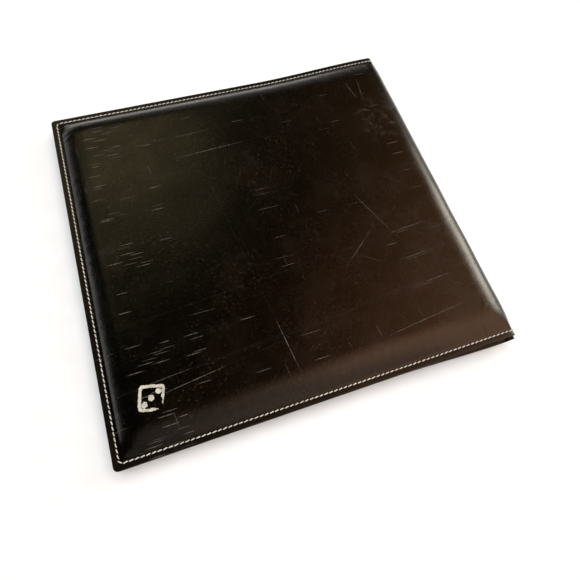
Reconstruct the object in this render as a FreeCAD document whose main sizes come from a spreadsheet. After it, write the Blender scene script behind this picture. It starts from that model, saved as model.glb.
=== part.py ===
"""Folding dice tray: a leather case that closes like a book and opens flat into a felt tray.

Frame: origin under the middle of the closed case, on the surface that it lies on.
+X points to the spine, +Y to the back edge, +Z up. Millimetres.
Every leaf piece is drawn for the bottom leaf. The top leaf is the same leaf turned half a turn
about X. The leaves and the spine turn about two lines along Y inside the leather of the spine.
"""
import FreeCAD, Part
import os
import Sketcher

SIZES = {
    # the closed case
    "case_width": 300.0,
    "case_depth": 290.0,
    "case_height": 22.0,
    "leaf_gap": 0.6,
    # layers
    "leather": 1.2,
    "rim_leather": 1.0,
    "foam_thick": 1.5,
    "board_thick": 2.0,
    "felt_thick": 1.0,
    "glue_gap": 0.05,
    # how far the flat layers stay inside the case's edge
    "foam_inset": 19.0,
    "board_inset": 17.4,
    "felt_inset": 20.6,
    # the sewn margin and the shoulder of the padded cover
    "margin": 7.0,
    "shoulder": 18.0,
    "corner_radius": 3.0,
    # stitching
    "stitch_inset": 4.3,
    "thread_width": 0.8,
    "thread_thick": 0.4,
    # wall of the tray
    "wall_inner": 20.5,
    "wall_outer_top": 8.1,
    "wall_outer_base": 14.6,
    # where the leaf's pieces stop, measured from the outside of the spine
    "leather_stop": 8.6,
    "wall_stop": 11.5,
    "felt_stop": 12.0,
    # spine
    "spine_radius": 8.0,
    "spine_board": 1.5,
    "spine_board_width": 9.6,
    "spine_core_inset": 14.0,
    "spine_foam_width": 8.4,
    "spine_foam_bevel": 8.4,
    "spine_foam_side": 0.35,
    "spine_foam_gap": 0.1,
    "spine_lining": 0.8,
    "spine_lining_width": 12.0,
    "end_pad_length": 12.6,
    "end_pad_height": 5.4,
    "end_pad_bevel": 2.9,
    # foil mark on the top cover
    "mark_size": 17.0,
    "mark_band": 1.9,
    "mark_pip": 1.8,
    "mark_thick": 0.15,
    "mark_from_fore_edge": 33.5,
    "mark_from_front": 37.0,
}

doc = FreeCAD.newDocument("folding_dice_tray")
sheet = doc.addObject("Spreadsheet::Sheet", "Sizes")
for row, (word, value) in enumerate(SIZES.items(), start=1):
    sheet.set(f"A{row}", word)
    sheet.set(f"B{row}", str(value))
    sheet.setAlias(f"B{row}", word)
doc.recompute()

# Levels and insets of the bottom leaf, as expressions on the sheet.
HALF_W = "Sizes.case_width / 2"
HALF_D = "Sizes.case_depth / 2"
RIM_TOP = "(Sizes.case_height - Sizes.leaf_gap) / 2"
FLANGE_TOP = f"({RIM_TOP} - Sizes.rim_leather)"
FLANGE_BASE = f"({FLANGE_TOP} - Sizes.leather)"
FOAM_BASE = "Sizes.leather"
BOARD_BASE = f"({FOAM_BASE} + Sizes.foam_thick)"
FELT_BASE = f"({BOARD_BASE} + Sizes.board_thick)"
FELT_TOP = f"({FELT_BASE} + Sizes.felt_thick)"
WALL_BASE = f"({FELT_BASE} + Sizes.glue_gap)"
WALL_TOP = f"({FLANGE_TOP} - Sizes.glue_gap)"
LEATHER_END = f"({HALF_W} - Sizes.leather_stop)"
WALL_END = f"({HALF_W} - Sizes.wall_stop)"
FELT_END = f"({HALF_W} - Sizes.felt_stop)"
LIP_INNER = "(Sizes.wall_inner + Sizes.rim_leather)"
SLOPE_STEP = "Sizes.leather / 2"


def plane(body, role):
    """The origin plane of a body that has this role."""
    return next(item for item in body.Origin.OriginFeatures if item.Role == role)


def new_body(label):
    body = doc.addObject("PartDesign::Body", label)
    body.Label = label
    return body


def new_sketch(body, name, role="XY_Plane", offset=None):
    """A sketch on an origin plane of its body, lifted off that plane by an expression."""
    sketch = body.newObject("Sketcher::SketchObject", name)
    sketch.AttachmentSupport = (plane(body, role), [""])
    sketch.MapMode = "FlatFace"
    if offset is not None:
        sketch.setExpression("AttachmentOffset.Base.z", offset)
    return sketch


def add_outline(sketch, corners):
    """A closed outline through corners given as pairs of expressions."""
    doc.recompute()
    first = sketch.GeometryCount
    count = len(corners)
    spots = [FreeCAD.Vector(sheet.evalExpression(across), sheet.evalExpression(up), 0)
             for across, up in corners]
    for index, spot in enumerate(spots):
        sketch.addGeometry(Part.LineSegment(spot, spots[(index + 1) % count]))
    for index in range(count):
        line, following = first + index, first + (index + 1) % count
        sketch.addConstraint(Sketcher.Constraint("Coincident", line, 2, following, 1))
    for index, corner in enumerate(corners):
        for kind, expression in zip(("DistanceX", "DistanceY"), corner):
            value = sheet.evalExpression(expression)
            number = sketch.addConstraint(
                Sketcher.Constraint(kind, -1, 1, first + index, 1, value))
            sketch.setExpression(f"Constraints[{number}]", expression)
    return sketch


def rectangle(x_low, y_low, x_high, y_high):
    return [(x_low, y_low), (x_high, y_low), (x_high, y_high), (x_low, y_high)]


def leaf_rectangle(inset, x_end):
    """The leaf's outline at an inset from its three free edges."""
    return rectangle(f"-{HALF_W} + {inset}", f"-{HALF_D} + {inset}", x_end, f"{HALF_D} - {inset}")


def leaf_channel(outer, inner, x_end):
    """A U that follows the three free edges, between two insets."""
    return [
        (x_end, f"-{HALF_D} + {outer}"),
        (x_end, f"-{HALF_D} + {inner}"),
        (f"-{HALF_W} + {inner}", f"-{HALF_D} + {inner}"),
        (f"-{HALF_W} + {inner}", f"{HALF_D} - {inner}"),
        (x_end, f"{HALF_D} - {inner}"),
        (x_end, f"{HALF_D} - {outer}"),
        (f"-{HALF_W} + {outer}", f"{HALF_D} - {outer}"),
        (f"-{HALF_W} + {outer}", f"-{HALF_D} + {outer}"),
    ]


def pad(body, sketch, length, name="Pad"):
    feature = body.newObject("PartDesign::Pad", name)
    feature.Profile = sketch
    feature.setExpression("Length", length)
    sketch.Visibility = False
    return feature


def plate(label, corners, base, thickness):
    """A flat piece with one outline."""
    body = new_body(label)
    sketch = add_outline(new_sketch(body, f"{label}_outline", offset=base), corners)
    pad(body, sketch, thickness, f"{label}_pad")
    return body


def loft(body, kind, name, lower, upper):
    """A loft between two levels, each given as (expression of its height, corners)."""
    sketches = [add_outline(new_sketch(body, f"{name}_{end}", offset=level), corners)
                for end, (level, corners) in zip(("low", "high"), (lower, upper))]
    feature = body.newObject(f"PartDesign::{kind}", name)
    feature.Profile = sketches[0]
    feature.Sections = [sketches[1]]
    feature.Ruled = True
    return feature


def cut(label, base, tools):
    """A piece with the room for its neighbours taken out."""
    for index, tool in enumerate(tools):
        feature = doc.addObject("Part::Cut", f"{label}_cut{index}")
        feature.Base = base
        feature.Tool = tool
        base = feature
    base.Label = label
    return base


def vertical_edges(shape, at_x):
    """Names of the upright edges that stand on one X."""
    names = []
    for number, edge in enumerate(shape.Edges, start=1):
        box = edge.BoundBox
        if abs(box.XMin - at_x) < 0.01 and box.XLength < 0.01 and box.YLength < 0.01:
            names.append(f"Edge{number}")
    return names


def group(label, solids):
    """Separate solids that share one node."""
    compound = doc.addObject("Part::Compound", label)
    compound.Links = solids
    compound.Label = label
    return compound


def stitch_lines(label):
    """The two threads of the lockstitch: one on the outside and one on the rim."""
    inset = "Sizes.stitch_inset"
    path = [inset, f"({inset} + Sizes.thread_width)"]
    return [
        plate(f"{label}_outer", leaf_channel(*path, LEATHER_END), FLANGE_BASE,
              "Sizes.thread_thick"),
        plate(f"{label}_inner", leaf_channel(*path, WALL_END),
              f"({RIM_TOP} - Sizes.thread_thick)", "Sizes.thread_thick"),
    ]


def cover_leather(label, threads):
    """The outer leather: a flat face, three sloping shoulders and a sewn margin."""
    body = new_body(f"{label}_pan")
    loft(body, "AdditiveLoft", f"{label}_outside",
         ("0", leaf_rectangle("Sizes.shoulder", LEATHER_END)),
         (FLANGE_BASE, leaf_rectangle("Sizes.margin", LEATHER_END)))
    edge = add_outline(new_sketch(body, f"{label}_edge", offset=FLANGE_BASE),
                       leaf_rectangle("0", LEATHER_END))
    flange = pad(body, edge, "Sizes.leather", f"{label}_flange")
    doc.recompute()
    corner = body.newObject("PartDesign::Fillet", f"{label}_corners")
    corner.Base = (flange, vertical_edges(flange.Shape, -SIZES["case_width"] / 2))
    corner.setExpression("Radius", "Sizes.corner_radius")
    loft(body, "SubtractiveLoft", f"{label}_inside",
         ("Sizes.leather", leaf_rectangle(f"(Sizes.shoulder + {SLOPE_STEP})", LEATHER_END)),
         (FLANGE_TOP, leaf_rectangle(f"(Sizes.margin + {SLOPE_STEP})", LEATHER_END)))
    return cut(label, body, [threads])


def tray_wall(label, side):
    """One wall core: a strip with a sloping outside and ends mitred to its neighbours."""
    body = new_body(label)
    across = 1 if side == "back" else -1
    half, role = (HALF_W, "XZ_Plane") if side == "fore_edge" else (HALF_D, "YZ_Plane")
    section = [(f"{across} * ({half} - {inset})", level) for inset, level in (
        ("Sizes.wall_outer_top", WALL_TOP), ("Sizes.wall_inner", WALL_TOP),
        ("Sizes.wall_inner", WALL_BASE), ("Sizes.wall_outer_base", WALL_BASE))]
    sketch = add_outline(new_sketch(body, f"{label}_section", role), section)
    strip = body.newObject("PartDesign::Pad", f"{label}_strip")
    strip.Profile = sketch
    if side == "fore_edge":
        strip.SideType = "Symmetric"
        strip.setExpression("Length", "Sizes.case_depth")
        sides = (-1, 1)
    else:
        strip.SideType = "Two sides"
        strip.setExpression("Length", WALL_END)
        strip.setExpression("Length2", HALF_W)
        sides = (across,)
    for turn in sides:
        corner = (f"-{HALF_W}", f"{turn} * {HALF_D}")
        inner = (f"-{HALF_W} + Sizes.shoulder + Sizes.margin",
                 f"{turn} * ({HALF_D} - Sizes.shoulder - Sizes.margin)")
        third = (inner[0], corner[1]) if side == "fore_edge" else (corner[0], inner[1])
        outline = [corner, inner, third]
        wedge = add_outline(new_sketch(body, f"{label}_mitre{turn + 1}"), outline)
        mitre = body.newObject("PartDesign::Pocket", f"{label}_mitre_cut{turn + 1}")
        mitre.Profile = wedge
        mitre.Type = "ThroughAll"
        mitre.SideType = "Symmetric"
    return body


def tray_rim(label, threads):
    """The inner leather: a wide rim round three sides and a lip down to the felt."""
    body = new_body(f"{label}_sheet")
    top = add_outline(new_sketch(body, f"{label}_top", offset=FLANGE_TOP),
                      leaf_channel("0", LIP_INNER, WALL_END))
    face = pad(body, top, "Sizes.rim_leather", f"{label}_face")
    doc.recompute()
    corner = body.newObject("PartDesign::Fillet", f"{label}_corners")
    corner.Base = (face, vertical_edges(face.Shape, -SIZES["case_width"] / 2))
    corner.setExpression("Radius", "Sizes.corner_radius")
    lip = add_outline(new_sketch(body, f"{label}_lip", offset=f"{FELT_TOP} + Sizes.glue_gap"),
                      leaf_channel("(Sizes.wall_inner + Sizes.glue_gap)", LIP_INNER, WALL_END))
    pad(body, lip, f"{FLANGE_TOP} - {FELT_TOP}", f"{label}_lip_pad")
    return cut(label, body, [threads])


def foil_mark(label):
    """A worn foil stamp, inlaid in the leather: the face of a die that shows three."""
    centre = (f"-{HALF_W} + Sizes.mark_from_fore_edge", f"{HALF_D} - Sizes.mark_from_front")

    def square(name, side):
        reach = f"{side} / 2"
        return plate(name, rectangle(f"{centre[0]} - {reach}", f"{centre[1]} - {reach}",
                                     f"{centre[0]} + {reach}", f"{centre[1]} + {reach}"),
                     "0", "Sizes.mark_thick")

    frame = cut(f"{label}_frame", square(f"{label}_outside", "Sizes.mark_size"),
                [square(f"{label}_hole", "(Sizes.mark_size - 2 * Sizes.mark_band)")])
    solids = [frame]
    for step in (-1, 0, 1):
        pip = doc.addObject("Part::Cylinder", f"{label}_pip{step + 1}")
        pip.setExpression("Radius", "Sizes.mark_pip")
        pip.setExpression("Height", "Sizes.mark_thick")
        pip.setExpression("Placement.Base.x", f"{centre[0]} + {step} * Sizes.mark_size / 4")
        pip.setExpression("Placement.Base.y", f"{centre[1]} + {step} * Sizes.mark_size / 4")
        solids.append(pip)
    return solids


def build_leaf(leaf, turned):
    """All pieces of one leaf, drawn as the bottom leaf and turned over for the top one."""
    lines = stitch_lines(f"{leaf}_stitch_line")
    threads = group(f"{leaf}_stitch_grooves", lines)
    pieces = {
        f"{leaf}_stitching": group(f"{leaf}_stitching", lines),
        f"{leaf}_cover_leather": cover_leather(f"{leaf}_cover_leather", threads),
        f"{leaf}_cover_foam": plate(
            f"{leaf}_cover_foam", leaf_rectangle("Sizes.foam_inset", WALL_END),
            FOAM_BASE, "Sizes.foam_thick"),
        f"{leaf}_cover_board": plate(
            f"{leaf}_cover_board", leaf_rectangle("Sizes.board_inset", WALL_END),
            BOARD_BASE, "Sizes.board_thick"),
        f"{leaf}_felt": plate(
            f"{leaf}_felt", leaf_rectangle("Sizes.felt_inset", FELT_END),
            FELT_BASE, "Sizes.felt_thick"),
        f"{leaf}_rim_leather": tray_rim(f"{leaf}_rim_leather", threads),
    }
    names = {"front": "back", "back": "front"} if turned else {}
    for side in ("front", "back", "fore_edge"):
        label = f"{leaf}_{names.get(side, side)}_wall"
        pieces[label] = tray_wall(label, side)
    if turned:
        cover = f"{leaf}_cover_leather"
        pieces[cover].Label = f"{cover}_unmarked"
        solids = foil_mark("foil_mark_solid")
        pieces[cover] = cut(cover, pieces[cover], [group("foil_mark_recess", solids)])
        pieces["foil_mark"] = group("foil_mark", solids)
        for piece in pieces.values():
            piece.Placement.Rotation = FreeCAD.Rotation(FreeCAD.Vector(1, 0, 0), 180)
            piece.setExpression("Placement.Base.z", "Sizes.case_height")
    return pieces


def spine_section(outer, inner):
    """The section of the spine between two depths under its outside: a C with round corners."""
    radius, height = SIZES["spine_radius"], SIZES["case_height"]
    start_x = SIZES["case_width"] / 2 - radius

    def path(depth):
        bend = radius - depth
        low, high = radius, height - radius
        corner = bend * 0.5 ** 0.5
        points = [FreeCAD.Vector(start_x, 0, depth),
                  FreeCAD.Vector(start_x + corner, 0, low - corner),
                  FreeCAD.Vector(start_x + bend, 0, low),
                  FreeCAD.Vector(start_x + bend, 0, high),
                  FreeCAD.Vector(start_x + corner, 0, high + corner),
                  FreeCAD.Vector(start_x, 0, height - depth)]
        return [Part.Arc(*points[:3]).toShape(),
                Part.LineSegment(points[2], points[3]).toShape(),
                Part.Arc(*points[3:]).toShape()]

    outside, inside = path(outer), path(inner)
    ends = [Part.makeLine(outside[0].firstVertex().Point, inside[0].firstVertex().Point),
            Part.makeLine(outside[2].lastVertex().Point, inside[2].lastVertex().Point)]
    return Part.Face(Part.Wire(Part.__sortEdges__(outside + inside + ends)))


def spine_strip(section, y_low, y_high):
    """The section drawn out along the spine between two places."""
    strip = section.copy()
    strip.translate(FreeCAD.Vector(0, y_low, 0))
    return strip.extrude(FreeCAD.Vector(0, y_high - y_low, 0))


def plain_feature(label, shape):
    feature = doc.addObject("Part::Feature", label)
    feature.Shape = shape
    feature.Label = label
    return feature


def build_spine():
    """The soft spine: leather round a padded strip, and a pad at each end of the trough."""
    half_d = SIZES["case_depth"] / 2
    thread = (half_d - SIZES["stitch_inset"] - SIZES["thread_width"], half_d - SIZES["stitch_inset"])
    thread_face = spine_section(0, SIZES["thread_thick"])
    lines = [spine_strip(thread_face, *thread), spine_strip(thread_face, -thread[1], -thread[0])]
    stitching = plain_feature("spine_stitching", Part.makeCompound(lines))
    blank = plain_feature("spine_leather_blank", spine_strip(
        spine_section(0, SIZES["leather"]), -half_d, half_d))

    board_face = f"({HALF_W} - Sizes.leather - Sizes.foam_thick)"
    lining_face = f"({board_face} - Sizes.spine_board)"
    mid = "Sizes.case_height / 2"
    length = "(Sizes.case_depth - 2 * Sizes.spine_core_inset)"

    def strip(label, x_low, x_high, width, run):
        body = new_body(label)
        corners = rectangle(x_low, f"-{run} / 2", x_high, f"{run} / 2")
        sketch = add_outline(new_sketch(body, f"{label}_outline", offset=f"{mid} - {width} / 2"),
                             corners)
        pad(body, sketch, width, f"{label}_pad")
        return body

    foam = new_body("spine_foam")
    half_strip = "Sizes.spine_foam_width / 2"
    foam_front = f"({board_face} + Sizes.foam_thick - Sizes.spine_foam_gap)"
    foam_back = f"({board_face} + Sizes.spine_foam_gap)"
    foam_side = f"({board_face} + Sizes.spine_foam_side)"
    sketch = add_outline(new_sketch(foam, "spine_foam_section", "XZ_Plane"), [
        (foam_back, f"{mid} - {half_strip}"), (foam_side, f"{mid} - {half_strip}"),
        (foam_front, "Sizes.spine_foam_bevel"),
        (foam_front, "Sizes.case_height - Sizes.spine_foam_bevel"),
        (foam_side, f"{mid} + {half_strip}"), (foam_back, f"{mid} + {half_strip}")])
    filling = pad(foam, sketch, length, "spine_foam_pad")
    filling.SideType = "Symmetric"

    pieces = {
        "spine_stitching": stitching,
        "spine_leather": cut("spine_leather", blank, [stitching]),
        "spine_foam": foam,
        "spine_board": strip("spine_board", lining_face, board_face,
                             "Sizes.spine_board_width", length),
        "spine_lining": strip("spine_lining", f"({lining_face} - Sizes.spine_lining)",
                              lining_face, "Sizes.spine_lining_width", length),
    }
    pad_face = f"({lining_face} - Sizes.spine_lining - Sizes.glue_gap)"
    slope_side = "(Sizes.wall_outer_base + Sizes.end_pad_bevel)"
    reach = "Sizes.end_pad_length / 2"
    for side, turn in (("front", -1), ("back", 1)):
        label = f"spine_{side}_end_pad"
        body = new_body(label)
        section = [(f"{turn} * ({HALF_D} - {inset})", level) for inset, level in (
            ("Sizes.wall_inner", f"{mid} - {reach}"), (slope_side, f"{mid} - {reach}"),
            ("Sizes.wall_outer_top", FLANGE_TOP),
            ("Sizes.wall_outer_top", f"Sizes.case_height - {FLANGE_TOP}"),
            (slope_side, f"{mid} + {reach}"), ("Sizes.wall_inner", f"{mid} + {reach}"))]
        sketch = add_outline(
            new_sketch(body, f"{label}_section", "YZ_Plane", f"{pad_face} - Sizes.end_pad_height"),
            section)
        pad(body, sketch, "Sizes.end_pad_height", f"{label}_pad")
        pieces[label] = body
    return pieces


parts = {
    **build_leaf("bottom", turned=False),
    **build_leaf("top", turned=True),
    **build_spine(),
}
doc.recompute()

for item in doc.Objects:
    if {"Invalid", "Error"} & set(item.State):
        raise RuntimeError(f"{item.Label} failed: {item.State}")
for name, piece in parts.items():
    if piece.Shape.isNull() or not piece.Shape.isValid():
        raise RuntimeError(f"{name} has no valid shape")

os.makedirs("parts", exist_ok=True)
for name, piece in sorted(parts.items()):
    piece.Shape.exportStep(f"parts/{name}.step")
    box = piece.Shape.BoundBox
    print(f"{name:28s} solids {len(piece.Shape.Solids)}  volume {piece.Shape.Volume:10.1f}  "
          f"x {box.XMin:7.1f} {box.XMax:7.1f}  y {box.YMin:7.1f} {box.YMax:7.1f}  "
          f"z {box.ZMin:5.2f} {box.ZMax:5.2f}")
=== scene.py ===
"""The looks of the folding dice tray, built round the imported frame. Metres, in the row's frame.

Each leaf is drawn in leaf space: x and y as in the row, and a height above the plane in which the
two closed leaves meet. place() turns that into the top leaf or, mirrored, the bottom leaf.
"""
import bmesh
import bpy
import math
import numpy as np
from mathutils import Matrix, Vector


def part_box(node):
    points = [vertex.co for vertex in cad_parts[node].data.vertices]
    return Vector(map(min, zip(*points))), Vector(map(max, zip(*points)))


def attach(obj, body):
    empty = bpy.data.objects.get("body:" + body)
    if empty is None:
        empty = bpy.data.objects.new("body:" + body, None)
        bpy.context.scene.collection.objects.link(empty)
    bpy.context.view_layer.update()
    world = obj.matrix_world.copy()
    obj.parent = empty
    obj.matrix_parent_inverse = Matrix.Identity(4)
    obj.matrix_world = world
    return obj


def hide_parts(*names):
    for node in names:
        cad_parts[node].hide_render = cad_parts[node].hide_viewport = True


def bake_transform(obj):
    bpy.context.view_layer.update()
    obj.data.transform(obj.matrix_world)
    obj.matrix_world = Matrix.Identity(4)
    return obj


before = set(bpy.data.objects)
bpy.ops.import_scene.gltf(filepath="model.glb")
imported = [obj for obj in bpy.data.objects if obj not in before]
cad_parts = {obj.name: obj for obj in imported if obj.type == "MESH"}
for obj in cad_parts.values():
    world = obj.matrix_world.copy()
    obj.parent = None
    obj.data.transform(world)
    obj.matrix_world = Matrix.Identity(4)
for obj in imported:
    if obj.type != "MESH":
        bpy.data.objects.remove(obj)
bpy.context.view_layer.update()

# ---------------------------------------------------------------- sizes, from the frame
cover_low, cover_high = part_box("top_cover_leather")
spine_low, spine_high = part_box("spine_leather")
rim_low, rim_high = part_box("top_rim_leather")
felt_low, felt_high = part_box("top_felt")
board_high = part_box("top_cover_board")[1]
lining_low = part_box("spine_lining")[0]
mark_low, mark_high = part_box("foil_mark")

FORE_EDGE = cover_low.x
HALF_DEPTH = cover_high.y
SPINE_OUT = spine_high.x
MID = spine_high.z / 2
COVER_HEIGHT = spine_high.z - MID
GAP = rim_low.z - MID
RIM_LEATHER = 0.001
LEATHER = cover_low.z - rim_low.z + 0.0002
WALL_END = rim_high.x
WALL_INNER = felt_low.x - FORE_EDGE + 0.001
FELT_LEVEL = felt_low.z - MID
BOARD_LEVEL = board_high.z - MID

# ---------------------------------------------------------------- the shape of the leather
MARGIN = 0.0062            # the flat sewn margin
SHOULDER = 0.021           # from the margin to the flat of the cover
STITCH_INSET = 0.0041
STITCH_PITCH = 0.00363
GROOVE_WIDTH = 0.0009      # of the dip that the seam pulls into the leather
GATHER_INSET = 0.0115      # the leather gathers most this far in from the edge
GATHER_WIDTH = 0.0065
CORNER_RADIUS = 0.003
EDGE_HEIGHT = GAP + RIM_LEATHER + LEATHER
RAMP_RISE = 0.0044         # the margin climbs this much towards the spine
RAMP_START = 0.030
RAMP_END = 0.146
PINCH_X = 0.0052           # half axis of the pinched end of the spine
PINCH_INSET = 0.0004       # the pinched end stops this far inside the rest of the spine
FLARE = 0.0022             # the bottom leaf's margin stands out this far beside the spine
FLARE_START = 0.05
FLARE_END = 0.14
ROLL_X = 0.019             # half axes of the soft roll from the cover into the spine
ROLL_H = 0.0085
FOLD_DEPTH = 0.0066        # the deepest level of the lining in the fold
STRIP_EDGE = 0.0042        # the level where the lining meets the stiff strip in the spine
LEAVES = ("top", "bottom")
TINY = 1e-12               # keeps a division clear of 0 / 0


def spine_roll():
    """The outside of the soft roll from the cover to the middle of the spine: the distance along
    the skin, x and the height, at places along it."""
    angle = np.linspace(0, math.pi / 2, 400)
    x = np.append(SPINE_OUT - ROLL_X + ROLL_X * np.sin(angle), SPINE_OUT)
    h = np.append(COVER_HEIGHT - ROLL_H + ROLL_H * np.cos(angle), 0)
    along = np.concatenate([[0], np.cumsum(np.hypot(np.diff(x), np.diff(h)))])
    return SPINE_OUT - ROLL_X - FORE_EDGE + along, x, h


ROLL_ALONG, ROLL_AT_X, ROLL_AT_H = spine_roll()
SKIN_LENGTH = ROLL_ALONG[-1]


def smooth(value, low=0.0, high=1.0):
    t = np.clip((value - low) / (high - low), 0, 1)
    return t * t * (3 - 2 * t)


def ridge(value, centre, width):
    """1 at the centre, falling away on both sides as a bell curve does."""
    return np.exp(-(((value - centre) / width) ** 2))


def swell(inset):
    """0 on the sewn margin and 1 on the flat of the cover, steepest beside the seam."""
    return 1 - (1 - np.clip((inset - MARGIN) / SHOULDER, 0, 1)) ** 2.3


def edge_height(x):
    return EDGE_HEIGHT + RAMP_RISE * smooth(x, RAMP_START, RAMP_END)


def flare(x, y, fade_end):
    """How far the bottom leaf's margin moves in y. It fades out between the seam and fade_end."""
    inset = HALF_DEPTH - np.abs(y)
    spread = FLARE * smooth(x, FLARE_START, FLARE_END) * (1 - smooth(inset, 0.004, fade_end))
    return np.sign(y) * spread


def waves(count, shortest, longest, seed):
    """A smooth random field of two places: a sum of waves with these lengths."""
    draw = np.random.default_rng(seed)
    lengths = np.exp(draw.uniform(math.log(shortest), math.log(longest), count))
    turns = draw.uniform(0, 2 * math.pi, count)
    phases = draw.uniform(0, 2 * math.pi, count)

    def field(u, v):
        total = 0
        for length, turn, phase in zip(lengths, turns, phases):
            total = total + np.sin(
                2 * math.pi * (u * math.cos(turn) + v * math.sin(turn)) / length + phase)
        return total / math.sqrt(count)

    return field


def ripples(count, shortest, longest, seed):
    """A smooth random field of one place."""
    field = waves(count, shortest, longest, seed)
    return lambda u: field(u, 0 * u)


sag = waves(7, 0.045, 0.13, 11)
gathers = ripples(9, 0.004, 0.011, 12)
side_gathers = ripples(9, 0.005, 0.012, 13)
fold_bend = ripples(5, 0.012, 0.03, 14)


def skin(s, y):
    """Points of the outside of a cover in leaf space. s runs from the fore-edge, over the cover
    and round to the middle of the spine."""
    inset_y = HALF_DEPTH - np.abs(y)
    full_y = swell(inset_y)
    x_full = np.where(s < ROLL_ALONG[0], FORE_EDGE + s, np.interp(s, ROLL_ALONG, ROLL_AT_X))
    h_full = np.interp(s, ROLL_ALONG, ROLL_AT_H)
    bend_from = SPINE_OUT - FORE_EDGE - PINCH_INSET - PINCH_X
    roll = smooth(s, bend_from - 0.004, SKIN_LENGTH) * math.pi / 2
    x_end = FORE_EDGE + np.minimum(s, bend_from) + PINCH_X * np.sin(roll)
    h_end = edge_height(x_end) * np.cos(roll)
    x = x_end + (x_full - x_end) * full_y
    h = h_end + (h_full - h_end) * full_y * swell(s)
    return x, h


def on_cover(s, y):
    """The same points as rows of x, y and height."""
    x, h = skin(s, y)
    return np.stack([x, y, h], axis=1)


def round_corners(x, y):
    """Pulls the two fore-edge corners of a rectangular grid into arcs."""
    a = CORNER_RADIUS - (x - FORE_EDGE)
    b = CORNER_RADIUS - (HALF_DEPTH - np.abs(y))
    inside = (a > 0) & (b > 0)
    scale = np.where(inside, np.maximum(a, b) / np.maximum(np.hypot(a, b), TINY), 1)
    x = np.where(inside, FORE_EDGE + CORNER_RADIUS - a * scale, x)
    y = np.where(inside, np.sign(y) * (HALF_DEPTH - CORNER_RADIUS + b * scale), y)
    return x, y


def creases(x, y, s):
    """How far the leather stands off its smooth shape, in metres."""
    inset_y = HALF_DEPTH - np.abs(y)
    inset_x = s
    inset = np.minimum(inset_y, inset_x)
    flat = swell(inset_y) * swell(inset_x)
    near_spine = smooth(x, -0.03, 0.09)
    off = 0.00012 * sag(x, y) * flat
    band = ridge(inset_y, GATHER_INSET, GATHER_WIDTH)
    off = off + 0.00009 * gathers(x + 0.1 * y) * band * (0.3 + 0.7 * near_spine)
    side = ridge(inset_x, GATHER_INSET, GATHER_WIDTH)
    off = off + 0.00007 * side_gathers(y) * side
    corner_x = SPINE_OUT - 0.010
    away_x, away_y = x - corner_x, inset_y - 0.005
    distance = np.hypot(away_x, away_y)
    angle = np.arctan2(away_y, -away_x)
    fan = ridge(distance, 0.022, 0.010) * smooth(inset_y, 0.006, 0.014)
    off = off + 0.000035 * np.sin(13 * angle + 3 * fold_bend(distance + np.sign(y))) * fan
    groove = ridge(inset, STITCH_INSET, GROOVE_WIDTH)
    return off - 0.00028 * groove


def normals(grid):
    along, across = np.gradient(grid, axis=0), np.gradient(grid, axis=1)
    normal = np.cross(along, across)
    return normal / np.linalg.norm(normal, axis=2, keepdims=True)


def spaced(length, fine, coarse, edge):
    """Places from 0 to length, close together near both ends."""
    ends = np.arange(0, edge, fine)
    middle = np.linspace(edge, length - edge, max(2, round((length - 2 * edge) / coarse) + 1))
    return np.concatenate([ends, middle, length - ends[::-1]])


def cover_grid(leaf, lift=0.0):
    """The outside of a cover as a grid of points in leaf space, with s and y for each."""
    spacing = (0.0009, 0.0021, 0.036)
    s = spaced(SKIN_LENGTH, *spacing)
    y = spaced(2 * HALF_DEPTH, *spacing) - HALF_DEPTH
    s, y = np.meshgrid(s, y, indexing="ij")
    return skin_points(s, y, leaf, lift), s, y


def skin_points(s, y, leaf, lift=0.0):
    x, h = skin(s, y)
    x, y_round = round_corners(x, y)
    if leaf == "bottom":
        y_round = y_round + flare(x, y, 0.03)
    grid = np.stack([x, y_round, h], axis=-1)
    normal = normals(grid)
    off = creases(x, y, s)
    if leaf == "bottom":
        off = np.minimum(off, 0)
    return grid + normal * (off + lift)[..., None]


def place(points, leaf):
    points = np.array(points, float)
    points[..., 2] = MID + points[..., 2] if leaf == "top" else MID - points[..., 2]
    return points


# ---------------------------------------------------------------- meshes
def make_object(name, points, faces, values=None, smooth_angle=50):
    """A mesh piece that keeps its rest place, for materials that don't slide when it bends."""
    mesh = bpy.data.meshes.new(name)
    mesh.from_pydata(np.asarray(points, float).tolist(), [], [list(map(int, f)) for f in faces])
    work = bmesh.new()
    work.from_mesh(mesh)
    bmesh.ops.recalc_face_normals(work, faces=work.faces)
    work.to_mesh(mesh)
    work.free()
    rest = mesh.attributes.new("rest", "FLOAT_VECTOR", "POINT")
    rest.data.foreach_set("vector", np.asarray(points, np.float32).ravel())
    for key, value in (values or {}).items():
        layer = mesh.attributes.new(key, "FLOAT", "POINT")
        layer.data.foreach_set("value", np.asarray(value, np.float32).ravel())
    obj = bpy.data.objects.new(name, mesh)
    bpy.context.scene.collection.objects.link(obj)
    mesh.shade_smooth()
    mesh.set_sharp_from_angle(angle=math.radians(smooth_angle))
    return obj


def shell(name, outside, inside, values=None):
    """A closed skin between two matching grids of points."""
    rows, columns = outside.shape[:2]
    count = rows * columns
    index = np.arange(count).reshape(rows, columns)
    quads = np.stack([index[:-1, :-1], index[1:, :-1], index[1:, 1:], index[:-1, 1:]], -1)
    quads = quads.reshape(-1, 4)
    border = np.concatenate(
        [index[0, :-1], index[:-1, -1], index[-1, :0:-1], index[:0:-1, 0]])
    after = np.roll(border, -1)
    sides = np.stack([border, after, after + count, border + count], axis=1)
    points = np.concatenate([outside.reshape(-1, 3), inside.reshape(-1, 3)])
    faces = np.concatenate([quads, quads[:, ::-1] + count, sides])
    both = {key: np.concatenate([value.ravel()] * 2) for key, value in (values or {}).items()}
    return make_object(name, points, faces, both)


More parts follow.
